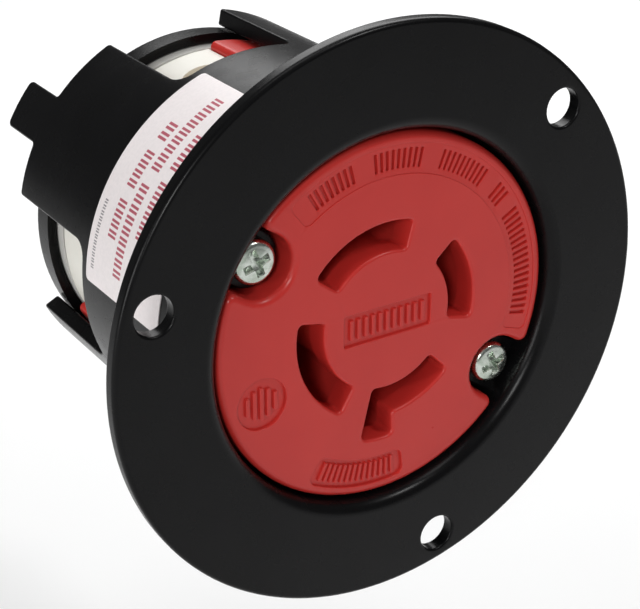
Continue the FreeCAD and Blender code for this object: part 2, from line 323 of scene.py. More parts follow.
def ring_block(span: Flat, inner: float, outer: float, radius: float) -> Bent:
    """Makes a rounded block of a ring between two angles and two radii.

    Args:
        span: First and last angle.
        inner: Inner radius.
        outer: Outer radius.
        radius: Radius of its corners.

    Returns:
        The outline.
    """
    ring = 0.5 * (inner + outer)
    start, end = (math.radians(angle) * ring for angle in span)
    return Bent(rectangle((start, inner), (end, outer), radius), ring)


# Mesh drafting ------------------------------------------------------------------------


class Draft:
    """Mesh of one piece while it is being drawn, in millimetres."""

    def __init__(self) -> None:
        """Starts with nothing drawn."""
        self.points: list[Vector] = []
        self.faces: list[tuple[tuple[int, ...], int]] = []

    def add(self, points: Iterable[Vector]) -> list[int]:
        """Adds points and gives their numbers.

        Args:
            points: The points.

        Returns:
            The numbers.
        """
        first = len(self.points)
        self.points.extend(points)
        return list(range(first, len(self.points)))

    def band(self, near: Sequence[int], far: Sequence[int], closed: bool = True) -> None:
        """Joins two rows of points by a strip of four-sided faces.

        Args:
            near: Numbers of the first row's points.
            far: Numbers of the second row's points.
            closed: Whether the last point joins the first.
        """
        count = len(near)
        for k in range(count if closed else count - 1):
            n = (k + 1) % count
            self.faces.append(((near[k], near[n], far[n], far[k]), 0))

    def sweep(self, loop: Loop, profile: Iterable[Flat], place: Place = across,
              closed: bool = True) -> None:
        """Draws the wall that a loop makes along a profile.

        Args:
            loop: The loop.
            profile: Pairs of how much the loop shrinks and its height.
            place: Puts a point of the loop and its height in space.
            closed: Whether the loop's last point joins its first.
        """
        rows = [self.add(place(u, v, height) for u, v in loop.points(shrink))
                for shrink, height in profile]
        for near, far in zip(rows, rows[1:]):
            self.band(near, far, closed)

    def spin(self, profile: Iterable[Flat], count: int, start: float = 0.0) -> None:
        """Draws the surface that a profile of radius and height makes about the axis.

        Args:
            profile: Pairs of radius and height.
            count: Number of points round the axis.
            start: Angle of the first point.
        """
        rows = []
        for radius, height in profile:
            ring = Round(radius, count=count, start=start).points()
            rows.append(self.add(across(*point, height) for point in ring))
        for near, far in zip(rows, rows[1:]):
            self.band(near, far)

    def fill(self, loops: Sequence[Sequence[Flat]], place: FlatPlace,
             inside: Sequence[Flat] = (), finish: int = 0) -> None:
        """Fills the area that lies inside an odd number of loops.

        Args:
            loops: Loops as points.
            place: Puts a flat point in space.
            inside: Extra points, used where they are well clear of the loops.
            finish: Number of the finish that the faces get.
        """
        flat = [point for loop in loops for point in loop]
        edges, first = [], 0
        for loop in loops:
            edges.extend((first + k, first + (k + 1) % len(loop)) for k in range(len(loop)))
            first += len(loop)
        flat.extend(clear_points(inside, loops))
        made = delaunay_2d_cdt([Vector(p) for p in flat], edges, [], 0, 1e-7)
        numbers = self.add(place(p.x, p.y) for p in made[0])
        corners = np.array([[tuple(made[0][n]) for n in face] for face in made[2]])
        kept = inside_odd(corners.mean(axis=1), loops)
        for face, keep in zip(made[2], kept):
            if keep:
                self.faces.append((tuple(numbers[n] for n in face), finish))

    def join(self, other: "Draft", matrix: Matrix) -> None:
        """Adds a copy of another draft, put in place by a matrix.

        Args:
            other: The draft that is copied.
            matrix: Where the copy goes.
        """
        first = len(self.points)
        self.points.extend(matrix @ point for point in other.points)
        self.faces.extend((tuple(first + n for n in face), finish) for face, finish in other.faces)

    def piece(self, name: str, finishes: Sequence[bpy.types.Material], sharp: float = 38.0
              ) -> bpy.types.Object:
        """Makes the piece.

        Args:
            name: Name of the piece.
            finishes: Its materials, in the order of the finish numbers.
            sharp: Angle from which an edge stays sharp.

        Returns:
            The object, in metres in the row frame.
        """
        mesh = bpy.data.meshes.new(name)
        mesh.from_pydata([point * MM for point in self.points], [], [face for face, _ in self.faces])
        for polygon, (_, finish) in zip(mesh.polygons, self.faces):
            polygon.material_index = finish
        bm = bmesh.new()
        bm.from_mesh(mesh)
        bmesh.ops.remove_doubles(bm, verts=bm.verts, dist=WELD * MM)
        bmesh.ops.dissolve_degenerate(bm, dist=0.5 * WELD * MM, edges=bm.edges)
        bmesh.ops.recalc_face_normals(bm, faces=bm.faces)
        open_edges = sum(1 for edge in bm.edges if len(edge.link_faces) != 2)
        bm.to_mesh(mesh)
        bm.free()
        for material in finishes:
            mesh.materials.append(material)
        mesh.shade_smooth()
        mesh.set_sharp_from_angle(angle=math.radians(sharp))
        made = bpy.data.objects.new(name, mesh)
        bpy.context.scene.collection.objects.link(made)
        weighted = made.modifiers.new("even_faces", "WEIGHTED_NORMAL")
        weighted.keep_sharp = True
        log.info("%s: %d faces, %d open edges", name, len(mesh.polygons), open_edges)
        return made


def clear_points(points: Sequence[Flat], loops: Sequence[Sequence[Flat]]) -> list[Flat]:
    """Keeps the points that stand clear of every loop by a good part of their spacing.

    Args:
        points: Points of a grid.
        loops: Loops as points.

    Returns:
        The points kept.
    """
    if len(points) == 0:
        return []
    spots = np.array(points, float)
    lines = np.concatenate([np.array(loop, float) for loop in loops])
    spacing = float(np.median(np.linalg.norm(np.diff(spots, axis=0), axis=1)))
    nearest = np.full(len(spots), np.inf)
    for chunk in np.array_split(lines, max(1, len(lines) // CHUNK)):
        gaps = np.linalg.norm(spots[:, None] - chunk[None], axis=2)
        nearest = np.minimum(nearest, gaps.min(axis=1))
    return [tuple(spot) for spot in spots[nearest > CLEAR_SHARE * spacing]]


def inside_odd(points: np.ndarray, loops: Sequence[Sequence[Flat]]) -> np.ndarray:
    """Tells which points lie inside an odd number of loops.

    Args:
        points: The points, one in each row.
        loops: Loops as points.

    Returns:
        One truth value for each point.
    """
    inside = np.zeros(len(points), bool)
    for loop in loops:
        start = np.array(loop, float)
        end = np.roll(start, -1, axis=0)
        for (u0, v0), (u1, v1) in zip(start, end):
            if v0 == v1:
                continue
            spans = (v0 > points[:, 1]) != (v1 > points[:, 1])
            inside ^= spans & (points[:, 0] < (u1 - u0) * (points[:, 1] - v0) / (v1 - v0) + u0)
    return inside


# Finishes -----------------------------------------------------------------------------


class Slot(Enum):
    """Material slots of the record."""

    BLACK_NYLON = "black_nylon"
    RED_NYLON = "red_nylon"
    WHITE_NYLON = "white_nylon"
    BRASS = "brass"
    ZINC_STEEL = "zinc_steel"
    GREEN_STEEL = "green_steel"
    LABEL_STOCK = "label_stock"


Colour = tuple[float, float, float]


class Shader:
    """Node tree of one material while it is being wired."""

    def __init__(self, name: str) -> None:
        """Starts a material with a surface shader and coordinates fixed to the piece.

        Args:
            name: Name of the material.
        """
        self.material = bpy.data.materials.new(name)
        self.material.use_nodes = True
        self.tree = self.material.node_tree
        self.surface = self.tree.nodes["Principled BSDF"]
        self.where = self.tree.nodes.new("ShaderNodeTexCoord").outputs["Object"]

    def set(self, **values: float) -> None:
        """Sets constants on the surface shader, with underscores for spaces."""
        for name, value in values.items():
            self.surface.inputs[name.replace("_", " ")].default_value = value

    def stretched(self, scale: Colour) -> bpy.types.NodeSocket:
        """Gives the coordinates, stretched along the axes.

        Args:
            scale: Stretch along each axis.

        Returns:
            The coordinates.
        """
        node = self.tree.nodes.new("ShaderNodeMapping")
        node.inputs["Scale"].default_value = scale
        self.tree.links.new(self.where, node.inputs["Vector"])
        return node.outputs["Vector"]

    def noise(self, size: float, detail: float = 3.0, where: bpy.types.NodeSocket | None = None
              ) -> bpy.types.NodeSocket:
        """Gives cloudy noise.

        Args:
            size: Size of its larger spots.
            detail: How much finer noise it carries.
            where: Coordinates, or none for the plain ones.

        Returns:
            The noise, from 0 to 1.
        """
        node = self.tree.nodes.new("ShaderNodeTexNoise")
        node.inputs["Scale"].default_value = 1 / (size * MM)
        node.inputs["Detail"].default_value = detail
        self.tree.links.new(where or self.where, node.inputs["Vector"])
        return node.outputs["Fac"]

    def ranged(self, value: bpy.types.NodeSocket, low: float, high: float, start: float = 0.35,
               end: float = 0.65) -> bpy.types.NodeSocket:
        """Spreads a value over a range, with soft ends.

        Args:
            value: The value.
            low: What the start becomes.
            high: What the end becomes.
            start: Start of the range taken.
            end: End of the range taken.

        Returns:
            The result.
        """
        node = self.tree.nodes.new("ShaderNodeMapRange")
        node.interpolation_type = "SMOOTHSTEP"
        limits = {"From Min": start, "From Max": end, "To Min": low, "To Max": high}
        for name, limit in limits.items():
            node.inputs[name].default_value = limit
        self.tree.links.new(value, node.inputs["Value"])
        return node.outputs["Result"]

    def mixed(self, share: bpy.types.NodeSocket, first: Colour, second: Colour) -> bpy.types.NodeSocket:
        """Mixes two colours by a share.

        Args:
            share: Share of the second colour.
            first: First colour.
            second: Second colour.

        Returns:
            The colour.
        """
        node = self.tree.nodes.new("ShaderNodeMix")
        node.data_type = "RGBA"
        ends = [socket for socket in node.inputs if socket.type == "RGBA"]
        for socket, colour in zip(ends, (first, second)):
            socket.default_value = (*colour, 1)
        self.tree.links.new(share, node.inputs["Factor"])
        return next(s for s in node.outputs if s.type == "RGBA")

    def bumped(self, height: bpy.types.NodeSocket, depth: float, strength: float,
               under: bpy.types.NodeSocket | None = None) -> bpy.types.NodeSocket:
        """Turns a height into a bump of a real depth, over another bump if one is given.

        Args:
            height: The height, from 0 to 1.
            depth: Depth of the bump.
            strength: Strength of the bump.
            under: Bump that lies under this one, or none.

        Returns:
            The bumped normal.
        """
        node = self.tree.nodes.new("ShaderNodeBump")
        node.inputs["Distance"].default_value = depth * MM
        node.inputs["Strength"].default_value = strength
        self.tree.links.new(height, node.inputs["Height"])
        if under is not None:
            self.tree.links.new(under, node.inputs["Normal"])
        return node.outputs["Normal"]

    def wire(self, value: bpy.types.NodeSocket, name: str) -> None:
        """Wires a value to an input of the surface shader."""
        self.tree.links.new(value, self.surface.inputs[name])


@dataclass(frozen=True)
class MouldedNylon:
    """Moulded nylon: an even colour, a soft skin and a very fine grain."""

    slot: Slot
    colour: Colour
    shade: Colour
    roughness: Flat
    grain: float = 0.35
    grain_depth: float = 0.012
    gloss: float = 0.5

    def material(self) -> bpy.types.Material:
        """Makes the material.

        Returns:
            The material.
        """
        shader = Shader(self.slot.value)
        shader.set(IOR=1.53, Specular_IOR_Level=self.gloss)
        clouds = shader.ranged(shader.noise(9.0, 4.0), 0.0, 1.0, 0.1, 0.9)
        shader.wire(shader.mixed(clouds, self.colour, self.shade), "Base Color")
        shader.wire(shader.ranged(shader.noise(3.2, 3.0), *self.roughness, 0.0, 1.0), "Roughness")
        ripple = shader.bumped(shader.noise(9.0, 1.0), 0.05, 0.12)
        shader.wire(shader.bumped(shader.noise(self.grain, 2.0), self.grain_depth, 0.6, ripple), "Normal")
        return shader.material


@dataclass(frozen=True)
class PlatedMetal:
    """Plated or bare metal with a drawn grain and slight stains."""

    slot: Slot
    colour: Colour
    stain: Colour
    roughness: Flat
    drawn: Colour = (1.0, 1.0, 6.0)

    def material(self) -> bpy.types.Material:
        """Makes the material.

        Returns:
            The material.
        """
        shader = Shader(self.slot.value)
        shader.set(Metallic=1.0)
        stains = shader.ranged(shader.noise(1.6, 5.0), 0.0, 1.0, 0.4, 0.7)
        shader.wire(shader.mixed(stains, self.colour, self.stain), "Base Color")
        scratches = shader.noise(0.5, 4.0, shader.stretched(self.drawn))
        shader.wire(shader.ranged(scratches, *self.roughness, 0.3, 0.7), "Roughness")
        shader.wire(shader.bumped(scratches, 0.01, 0.5), "Normal")
        return shader.material


@dataclass(frozen=True)
class LabelFilm:
    """Printed film: a pale stock or an ink on it, with faint fibres and creases."""

    name: str
    colour: Colour
    shade: Colour
    roughness: Flat = (0.32, 0.46)

    def material(self) -> bpy.types.Material:
        """Makes the material.

        Returns:
            The material.
        """
        shader = Shader(self.name)
        shader.set(IOR=1.45)
        fibres = shader.noise(0.5, 6.0)
        shader.wire(shader.mixed(shader.ranged(fibres, 0.0, 1.0), self.colour, self.shade), "Base Color")
        shader.wire(shader.ranged(shader.noise(2.5, 3.0), *self.roughness), "Roughness")
        creases = shader.bumped(shader.noise(5.0, 1.0), 0.08, 0.3)
        shader.wire(shader.bumped(fibres, 0.006, 0.5, creases), "Normal")
        return shader.material


class Finishes:
    """All the finishes of the outlet, each made once."""

    def __init__(self) -> None:
        """Makes the materials by slot, a darker copy of the white nylon that paints shade on the terminal plate,
        and the two inks of the label.
        """
        made = (
            MouldedNylon(Slot.BLACK_NYLON, (0.0030, 0.0030, 0.0033), (0.0048, 0.0048, 0.0052), (0.22, 0.31),
                         gloss=0.15),
            MouldedNylon(Slot.RED_NYLON, (0.60, 0.036, 0.029), (0.55, 0.030, 0.025), (0.26, 0.36),
                         grain=0.5, grain_depth=0.006, gloss=0.35),
            MouldedNylon(Slot.WHITE_NYLON, (0.88, 0.86, 0.79), (0.81, 0.79, 0.71), (0.36, 0.48)),
            PlatedMetal(Slot.BRASS, (0.80, 0.58, 0.26), (0.60, 0.40, 0.17), (0.22, 0.38)),
            PlatedMetal(Slot.ZINC_STEEL, (0.74, 0.79, 0.73), (0.50, 0.57, 0.49), (0.14, 0.30)),
            PlatedMetal(Slot.GREEN_STEEL, (0.06, 0.30, 0.12), (0.03, 0.18, 0.07), (0.26, 0.42)),
        )
        self.by_slot = {finish.slot: finish.material() for finish in made}
        # Painted shade: the terminal plate is the same white nylon, greyed as if it sat in shadow behind the
        # terminal blocks.
        painted_shade_plate = MouldedNylon(Slot.WHITE_NYLON, (0.60, 0.59, 0.56), (0.54, 0.53, 0.50), (0.36, 0.48))
        self.painted_shade_by_node = {"terminal_plate": painted_shade_plate.material()}
        stock = LabelFilm(Slot.LABEL_STOCK.value, (0.95, 0.885, 0.885), (0.91, 0.85, 0.85))
        self.by_slot[Slot.LABEL_STOCK] = stock.material()
        self.ink = LabelFilm("label_ink", (0.52, 0.12, 0.16), (0.46, 0.10, 0.14)).material()
        self.fine_ink = LabelFilm("label_fine_ink", (0.34, 0.32, 0.33), (0.28, 0.26, 0.27)).material()

    def of(self, slot: Slot) -> bpy.types.Material:
        """Gives the material of a slot."""
        return self.by_slot[slot]


def settle(piece: bpy.types.Object, body: str, slot: Slot, *nodes: str) -> None:
    """Hands a piece over to the frame.

    Args:
        piece: The piece.
        body: Body that it rides on.
        slot: Slot of its finish; not used.
        nodes: CAD nodes that it stands for.
    """
    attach(piece, body)
    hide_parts(*nodes)


# Shell --------------------------------------------------------------------------------


@dataclass
class Shell:
    """Black shell: flange, tube, four arms with windows between them, two tabs and lugs."""

    finishes: Finishes
    edge_round: float = 0.7
    back_round: float = 0.25
    rim_round: float = 1.9
    tube_r: float = TUBE_R
    bore_r: float = 26.75
    root_round: float = 0.5
    lip: float = 0.35
    window_front: float = 32.1
    window_round: float = 2.4
    arm_rear: float = 53.5
    arm_centre: float = 142.2
    arm_span: float = 52.5
    arm_round: float = 0.6
    tab_centre: float = 145.2
    tab_span: float = 15.0
    tab_round: float = 0.9
    hole_r: float = 2.7
    hole_lead: float = 0.4
    hole_circle: float = 36.83
    hole_angles: tuple[float, ...] = (163.0, 43.0, -77.0)
    lug_circle: float = 23.1
    lug_r: float = 4.1
    lug_hole_r: float = 1.95
    lug_front: float = 2.6
    lug_rear: float = 5.6
    lug_angles: tuple[float, ...] = SCREW_ANGLES
    grid_step: float = 1.5
    seam_rows: int = 14
    count: int = 240
    flange_r: float = field(init=False)
    front: float = field(init=False)
    tab_rear: float = field(init=False)

    def __post_init__(self) -> None:
        """Takes the outer sizes from the frame."""
        low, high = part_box("flange_shell")
        self.flange_r = high.x / MM
        self.front = low.y / MM
        self.tab_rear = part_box("shell_tube")[1].y / MM

    @property
    def seam(self) -> float:
        """Angle at which the unrolled tube begins: the middle of an arm without a tab."""
        return self.arm_centre - 90

    def build(self) -> bpy.types.Object:
        """Makes the shell and hands it to the frame.

        Returns:
            The piece.
        """
        draft = Draft()
        self.draw_flange(draft)
        self.draw_tube(draft)
        for angle in self.lug_angles:
            self.draw_lug(draft, angle)
        piece = draft.piece("shell", [self.finishes.of(Slot.BLACK_NYLON)])
        settle(piece, "root", Slot.BLACK_NYLON, "flange_shell", "shell_tube")
        return piece

    def draw_flange(self, draft: Draft) -> None:
        """Draws the flange's faces, edges and mounting holes.

        Args:
            draft: Draft that gets the faces.
        """
        edge = [(self.flange_r - inset, self.front + drop) for inset, drop in quarter(self.edge_round)]
        edge += [(self.flange_r - inset, -drop) for inset, drop in reversed(quarter(self.back_round))]
        rim = [(self.bore_r + inset, self.front + drop) for inset, drop in quarter(self.rim_round, 10)]
        root = [(self.tube_r + inset, drop) for inset, drop in quarter(self.root_round)]
        for profile in (edge, rim, root):
            draft.spin(profile, self.count, self.seam)
        holes = [Round(self.hole_r, polar(self.hole_circle, angle)) for angle in self.hole_angles]
        through = [(-inset, self.front + drop) for inset, drop in quarter(self.hole_lead)]
        through += [(-inset, -drop) for inset, drop in reversed(quarter(self.back_round))]
        for hole in holes:
            draft.sweep(hole, through)
        faces = ((self.front, self.edge_round, self.bore_r + self.rim_round, self.hole_lead),
                 (0.0, self.back_round, self.tube_r + self.root_round, self.back_round))
        for height, inset, inner, lead in faces:
            loops = [self.ring(self.flange_r - inset), self.ring(inner)]
            loops += [hole.points(-lead) for hole in holes]
            draft.fill(loops, level(height))

    def ring(self, radius: float) -> list[Flat]:
        """Gives a full ring of the points that the flange's edges use."""
        return Round(radius, count=self.count, start=self.seam).points()

    def rear_edge(self) -> Outline:
        """Draws the rear edge of the unrolled tube, from the last angle back to the first.

        Returns:
            The outline.
        """
        corners = [(self.seam + 360, self.arm_rear, 0.0)]
        half_arm, half_tab = 0.5 * self.arm_span, 0.5 * self.tab_span
        for k in (3, 2, 1, 0):
            centre = self.seam + 90 * (k + 1)
            if k in (0, 2):
                tab = centre + self.tab_centre - self.arm_centre
                corners += [(tab + half_tab, self.arm_rear, self.arm_round),
                            (tab + half_tab, self.tab_rear, self.tab_round),
                            (tab - half_tab, self.tab_rear, self.tab_round),
                            (tab - half_tab, self.arm_rear, self.arm_round)]
            corners += [(centre - half_arm, self.arm_rear, self.arm_round),
                        (centre - half_arm, self.window_front, self.window_round),
                        (centre - 90 + half_arm, self.window_front, self.window_round),
                        (centre - 90 + half_arm, self.arm_rear, self.arm_round)]
        corners.append((self.seam, self.arm_rear, 0.0))
        return Outline(tuple(Corner(math.radians(a) * self.tube_r, y, r) for a, y, r in corners),
                       closed=False)

    def draw_tube(self, draft: Draft) -> None:
        """Draws both faces of the tube and its arms, and the edge between them.

        Args:
            draft: Draft that gets the faces.
        """
        edge = self.rear_edge()
        over = [(inset, self.tube_r - drop) for inset, drop in quarter(self.lip)]
        over += [(inset, self.bore_r + drop) for inset, drop in reversed(quarter(self.lip))]
        draft.sweep(edge, over, wrapped, closed=False)
        faces = ((self.tube_r, self.root_round), (self.bore_r, self.front + self.rim_round))
        for radius, start in faces:
            rear = edge.points(self.lip)
            seam_u = (rear[-1][0], rear[0][0])
            rows = np.linspace(start, rear[0][1], self.seam_rows)[1:-1]
            left = [(seam_u[0], v) for v in reversed(rows)]
            right = [(seam_u[1], v) for v in rows]
            angles = [self.seam + 360 * k / self.count for k in range(self.count + 1)]
            foot = [(math.radians(angle) * self.tube_r, start) for angle in angles]
            columns = np.linspace(seam_u[0], seam_u[1], self.count // 2 + 1)[1:-1]
            heights = np.arange(start + self.grid_step, self.tab_rear, self.grid_step)
            grid = [(u, v) for v in heights for u in columns]
            draft.fill([foot + right + rear + left],
                       lambda u, v, radius=radius: wrapped(u, v, radius), grid)

    def draw_lug(self, draft: Draft, angle: float) -> None:
        """Draws the lug that stands in from the tube's wall and carries a screw head.

        Args:
            draft: Draft that gets the faces.
            angle: Angle at which it stands.
        """
        inner = self.lug_circle - self.lug_r
        outer = 0.5 * (self.bore_r + self.tube_r)
        corners = (Corner(inner, -self.lug_r, self.lug_r), Corner(outer, -self.lug_r),
                   Corner(outer, self.lug_r), Corner(inner, self.lug_r, self.lug_r))
        plan = Turned(Outline(corners), angle)
        hole = Round(self.lug_hole_r, polar(self.lug_circle, angle), 32)
        rise = [(inset, self.lug_front + drop) for inset, drop in quarter(self.lip, 4)]
        rise += [(inset, self.lug_rear - drop) for inset, drop in reversed(quarter(self.lip, 4))]
        draft.sweep(plan, rise)
        draft.sweep(hole, [(0.0, self.lug_front), (0.0, self.lug_rear)])
        for height in (self.lug_front, self.lug_rear):
            draft.fill([plan.points(self.lip), hole.points()], level(height))


# Front body ---------------------------------------------------------------------------


@dataclass(frozen=True)
class Cut:
    """Straight-sided cut in the edge of a disc, from one side of an angle to the other."""

    angle: float
    low: float
    high: float


@dataclass
class FrontBody:
    """Red body: slotted face with blank fields, blade chambers and four rear posts."""

    finishes: Finishes
    radius: float = 26.2
    edge_round: float = 0.95
    notch_r: float = 4.5
    notch_circle: float = 22.8
    notch_angles: tuple[float, ...] = SCREW_ANGLES
    mouth_round: float = 1.15
    arc_step: float = 2.5
    slot_inner: float = 10.1
    slot_outer: float = 14.2
    slot_round: float = 0.7
    slot_lip: float = 0.45
    slot_depth: float = 3.7
    chamber_gap: float = 0.7
    chamber_rear: float = 29.0
    slot_spans: tuple[Flat, ...] = ((74.0, 142.0), (-12.0, 41.0), (168.0, 238.0))
    ground_span: Flat = (-103.0, -45.0)
    foot_end: float = -86.5
    foot_outer: float = 17.8
    field_depth: float = 0.46
    field_lip: float = 0.12
    bar_rise: float = 0.40
    bar_lip: float = 0.08
    band_depth: float = 0.12
    cut_depth: float = 0.45
    cut_lip: float = 0.07
    bays: tuple[Cut, ...] = (Cut(12.0, -5.5, 5.5), Cut(102.0, -5.5, 5.5), Cut(192.0, -11.2, 5.5),
                             Cut(282.0, -5.5, 5.5))
    bay_inner: float = 8.8
    bay_front: float = 29.9
    post_round: float = 0.5
    bay_round: float = 0.8
    bay_mouth_round: float = 0.9
    field_ring: Flat = (20.6, 24.75)
    name_half: Flat = (7.0, 2.35)
    name_bar_half: Flat = (0.3, 1.45)
    button_r: float = 3.7
    button_place: Flat = (20.8, -161.0)
    button_bars: tuple[Flat, ...] = ((-2.1, 1.3), (-1.05, 2.0), (0.0, 2.3), (1.05, 2.0), (2.1, 1.3))
    words: tuple[tuple[float, float, int], ...] = ((-13, 30, 18), (35, 42, 3), (48, 70, 10),
                                                   (77, 97, 9), (104, 122, 8))
    face: float = field(init=False)
    rear: float = field(init=False)

    def __post_init__(self) -> None:
        """Takes the ends from the frame."""
        low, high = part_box("front_body")
        self.face = low.y / MM
        self.rear = high.y / MM

    def build(self) -> bpy.types.Object:
        """Makes the front body and hands it to the frame.

        Returns:
            The piece.
        """
        draft = Draft()
        disc = self.disc()
        slots = self.slots()
        fields = self.fields()
        side = [(inset, self.face + drop) for inset, drop in quarter(self.edge_round, 8)]
        draft.sweep(disc, side + [(0.0, self.bay_front)])
        draft.fill([disc.points()], level(self.bay_front))
        for slot in slots:
            self.draw_slot(draft, slot)
        for blank in fields:
            blank.draw(draft, self.face)
        loops = [disc.points(self.edge_round)]
        loops += [slot.points(-self.slot_lip) for slot in slots]
        loops += [blank.rim() for blank in fields]
        draft.fill(loops, level(self.face))
        self.draw_posts(draft)
        piece = draft.piece("front_body_moulding", [self.finishes.of(Slot.RED_NYLON)])
        settle(piece, "root", Slot.RED_NYLON, "front_body")
        return piece

    def cut_disc(self, cuts: Sequence[Cut], inner: float, bottom_round: float,
                 mouth_round: float) -> Outline:
        """Draws a disc with straight-sided cuts in its edge.

        Args:
            cuts: Cuts, in order of their angles.
            inner: Distance of their bottoms from the axis.
            bottom_round: Radius of the corners at the bottom.
            mouth_round: Radius of the corners at the mouth.

        Returns:
            The outline.
        """
        def mouth(side: float) -> float:
            """Gives how far out a cut's side meets the disc's edge."""
            return math.sqrt(self.radius ** 2 - side ** 2)

        def clear(side: float) -> float:
            """Gives the angle from a cut's middle at which the edge is round again."""
            return math.degrees(math.asin(abs(side) / self.radius) + 1.7 * mouth_round / self.radius)

        corners = []
        for k, cut in enumerate(cuts):
            c, s = polar(1.0, cut.angle)
            for p, q, radius in ((mouth(cut.low), cut.low, mouth_round), (inner, cut.low, bottom_round),
                                 (inner, cut.high, bottom_round), (mouth(cut.high), cut.high, mouth_round)):
                corners.append(Corner(p * c - q * s, p * s + q * c, radius))
            following = cuts[(k + 1) % len(cuts)]
            start = cut.angle + clear(cut.high)
            end = following.angle - clear(following.low) + (360 if k + 1 == len(cuts) else 0)
            steps = max(2, round((end - start) / self.arc_step))
            corners += [Corner(*polar(self.radius, start + (end - start) * n / steps))
                        for n in range(steps + 1)]
        return Outline(tuple(corners), step=3.0)

    def disc(self) -> Outline:
        """Draws the face's edge with its two round-bottomed notches."""
        cuts = [Cut(angle, -self.notch_r, self.notch_r) for angle in sorted(self.notch_angles)]
        return self.cut_disc(cuts, self.notch_circle - self.notch_r, self.notch_r, self.mouth_round)

    def slots(self) -> list[Bent]:
        """Draws the four blade slots.

        Returns:
            The slots' outlines.
        """
        made = [ring_block(span, self.slot_inner, self.slot_outer, self.slot_round)
                for span in self.slot_spans]
        ring = 0.5 * (self.slot_inner + self.slot_outer)
        start, end = self.ground_span
        places = ((start, self.slot_inner), (end, self.slot_inner), (end, self.slot_outer),
                  (self.foot_end, self.slot_outer), (self.foot_end, self.foot_outer),
                  (start, self.foot_outer))
        corners = tuple(Corner(math.radians(a) * ring, r, self.slot_round) for a, r in places)
        return made + [Bent(Outline(corners), ring)]

    def draw_slot(self, draft: Draft, slot: Bent) -> None:
        """Draws a slot's edge and wall, and the wider chamber behind the face.

        Args:
            draft: Draft that gets the faces.
            slot: The slot.
        """
        behind = self.face + self.slot_depth
        wall = [(-inset, self.face + drop) for inset, drop in quarter(self.slot_lip)]
        wall += [(0.0, behind), (-self.chamber_gap, behind), (-self.chamber_gap, self.chamber_rear)]
        draft.sweep(slot, wall)
        draft.fill([slot.points(-self.chamber_gap)], level(self.chamber_rear))

    def fields(self) -> list["BlankField"]:
        """Gives the sunk fields of the face, and the plain cuts that stand in for lettering.

        Returns:
            The fields.
        """
        depths = {"depth": self.field_depth, "lip": self.field_lip, "rise": self.bar_rise,
                  "bar_lip": self.bar_lip}
        lower = BlankField(ring_block((-121.0, -83.0), *self.field_ring, 1.2),
                           ring_bars(((-118, -86, 14),), 21.3, 24.05), **depths)
        wide, tall = self.name_half
        half, reach = self.name_bar_half
        nameless = BlankField(rectangle((-wide, -tall), (wide, tall), 0.35),
                              [rectangle((u - half, -reach), (u + half, reach), BAR_ROUND)
                               for u in np.linspace(-5.7, 5.7, 11)], **depths)
        u0, v0 = polar(*self.button_place)
        bars = [rectangle((u0 + u - half, v0 - tall), (u0 + u + half, v0 + tall), BAR_ROUND)
                for u, tall in self.button_bars]
        button = BlankField(Round(self.button_r, (u0, v0)), bars, **depths)
        band = BlankField(ring_block((-18.0, 128.0), *self.field_ring, 0.9),
                          ring_bars(self.words, 21.4, 24.1),
                          self.band_depth, self.cut_lip, -self.cut_depth, self.cut_lip)
        return [band, lower, nameless, button]

    def draw_posts(self, draft: Draft) -> None:
        """Draws the four posts that stand between the terminal bays.

        Args:
            draft: Draft that gets the faces.
        """
        cross = self.cut_disc(self.bays, self.bay_inner, self.bay_round, self.bay_mouth_round)
        wall = [(0.0, self.chamber_rear)]
        wall += [(inset, self.rear - drop) for inset, drop in reversed(quarter(self.post_round, 4))]
        draft.sweep(cross, wall)
        ends = ((0.0, self.chamber_rear), (self.post_round, self.rear))
        for shrink, height in ends:
            draft.fill([cross.points(shrink)], level(height))


def ring_bars(groups: Iterable[tuple[float, float, int]], inner: float, outer: float) -> list[Bent]:
    """Makes groups of plain bars along a ring.

    Args:
        groups: First angle, last angle and number of bars of each group.
        inner: Inner radius of the bars.
        outer: Outer radius of the bars.

    Returns:
        The bars' outlines.
    """
    bars = []
    for start, end, count in groups:
        pitch = (end - start) / count
        bars += [ring_block((start + pitch * (k + 0.2), start + pitch * (k + 0.72)), inner, outer,
                            BAR_ROUND) for k in range(count)]
    return bars


@dataclass
class BlankField:
    """Sunk field of the face with plain bars, raised or cut, in place of lettering."""

    edge: Loop
    bars: list[Loop]
    depth: float
    lip: float
    rise: float = 0.0
    bar_lip: float = 0.0

    def rim(self) -> list[Flat]:
        """Gives the loop where the field's edge meets the face."""
        return self.edge.points(-self.lip)

    def draw(self, draft: Draft, face: float) -> None:
        """Draws the field below a face.

        Args:
            draft: Draft that gets the faces.
            face: Height of the face.
        """
        floor = face + self.depth
        draft.sweep(self.edge, [(-inset, face + drop) for inset, drop in quarter(self.lip, 3)]
                    + [(0.0, floor)])
        sunk = self.rise < 0
        foot = self.bar_lip if sunk else BAR_FOOT
        draft.fill([self.edge.points()] + [bar.points(-foot) for bar in self.bars], level(floor))
        top = floor - self.rise
        for bar in self.bars:
            if sunk:
                BlankField(bar, [], -self.rise, self.bar_lip).draw(draft, floor)
                continue
            over = [(inset, top + drop) for inset, drop in quarter(self.bar_lip, 3)]
            draft.sweep(bar, over + [(-foot, floor)])
            draft.fill([bar.points(self.bar_lip)], level(top))


# Label --------------------------------------------------------------------------------


class Ink(Enum):
    """Inks of the label, by the number of their finish."""

    BOLD = 1
    FINE = 2


@dataclass(frozen=True)
class PrintLine:
    """Row of plain printed blocks in place of a line of text."""

    front: float
    rear: float
    words: tuple[tuple[float, float, int], ...]
    ink: Ink = Ink.BOLD


